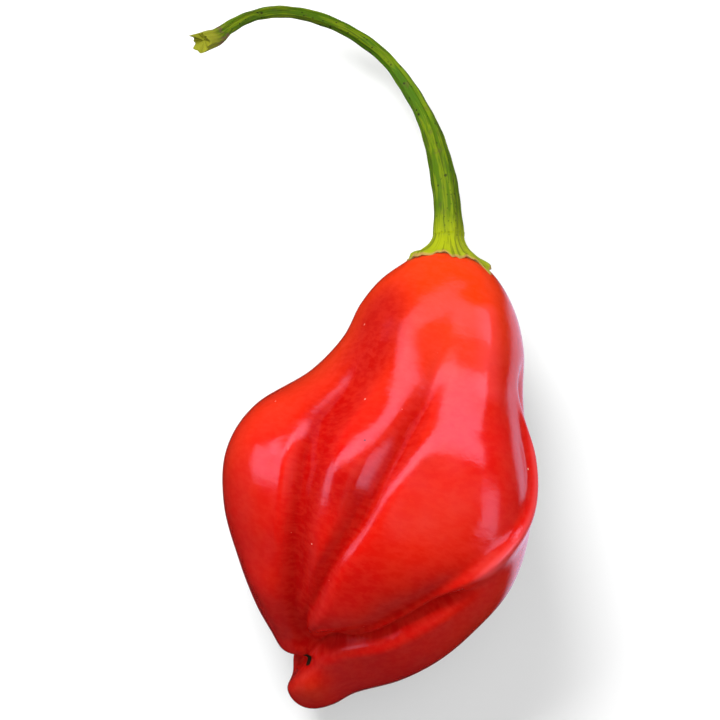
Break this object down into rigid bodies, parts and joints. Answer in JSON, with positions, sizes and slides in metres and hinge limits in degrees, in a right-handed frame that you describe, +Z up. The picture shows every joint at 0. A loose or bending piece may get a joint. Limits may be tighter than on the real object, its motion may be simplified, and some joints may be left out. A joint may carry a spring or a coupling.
{
  "type": "chilli pepper",
  "caption": "Ripe red lantern-shaped chilli pepper with a lobed, creased pod, a small green calyx and a long curved stem, lying on its side as picked.",
  "frame": {"origin": "on the table, under the middle of the whole pepper's bounding box", "axes": "+Z up from the table, +Y from the pod's nose towards the stem, +X to the right when seen from above with the stem away from the viewer"},
  "size_m": [0.0398, 0.083, 0.0315],
  "materials": {
    "pod_skin": "waxy gloss",
    "calyx_skin": "satin, dry brown rim",
    "stem_skin": "satin, ribbed, with dark specks"
  },
  "bodies": {
    "root": {"pod": "pod_skin", "calyx": "calyx_skin", "stem": "stem_skin"}
  },
  "joints": []
}
